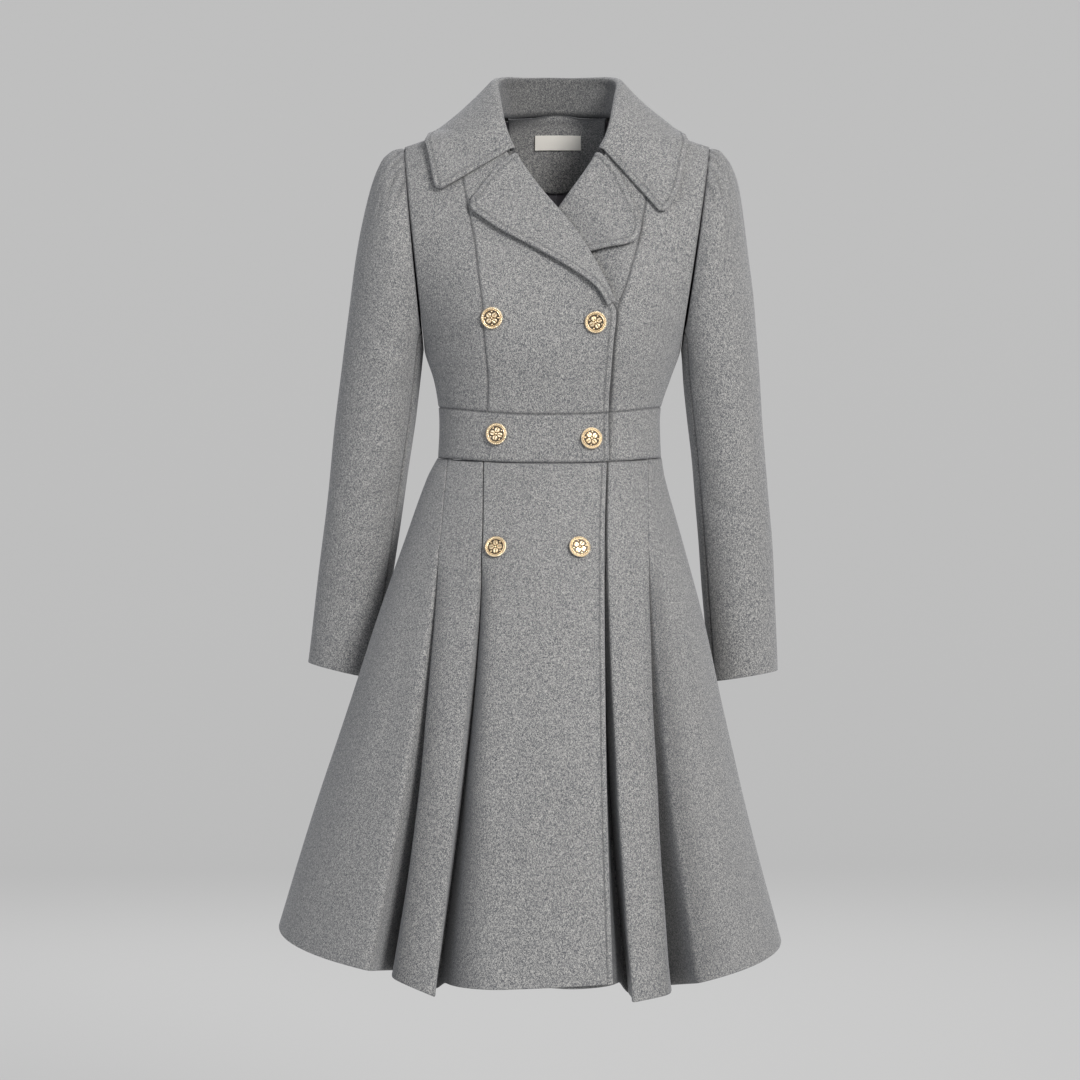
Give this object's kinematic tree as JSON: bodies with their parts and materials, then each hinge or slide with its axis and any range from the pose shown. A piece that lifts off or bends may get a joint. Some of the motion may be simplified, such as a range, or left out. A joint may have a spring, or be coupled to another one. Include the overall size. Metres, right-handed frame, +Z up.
{
  "type": "flared coat",
  "caption": "Flared wool coat with a notched collar, overlapping buttoned front, waistband, pleated knee-length skirt and long sleeves, filled out as worn.",
  "frame": {"origin": "between the two side neck points, on the line of the shoulders that hold the coat up", "axes": "+Z up along the coat's length, -Y out of the buttoned front, +X towards the wearer's left side"},
  "size_m": [0.576, 0.43, 1.0442],
  "materials": {
    "wool": "mottled grey brushed wool, matte",
    "button": "pale antiqued gilt with dark recesses",
    "label": "bare woven label, matte"
  },
  "bodies": {
    "root": {"right_front_centre": "wool", "right_front_side": "wool", "left_front_centre": "wool", "left_front_side": "wool", "right_back_centre": "wool", "right_back_side": "wool", "left_back_centre": "wool", "left_back_side": "wool", "right_lapel": "wool", "left_lapel": "wool", "back_neck_facing": "wool", "collar": "wool", "neck_label": "label", "waistband_right_front": "wool", "waistband_left_front": "wool", "waistband_back": "wool", "left_skirt_centre": "wool", "left_skirt_middle": "wool", "left_skirt_side": "wool", "left_skirt_back_side": "wool", "left_skirt_back_centre": "wool", "right_skirt_back_centre": "wool", "right_skirt_back_side": "wool", "right_skirt_side": "wool", "right_skirt_middle": "wool", "right_skirt_centre": "wool", "right_sleeve_upper": "wool", "right_sleeve_under": "wool", "left_sleeve_upper": "wool", "left_sleeve_under": "wool", "button_top_right": "button", "button_top_left": "button", "button_waist_right": "button", "button_waist_left": "button", "button_skirt_right": "button", "button_skirt_left": "button"}
  },
  "joints": []
}
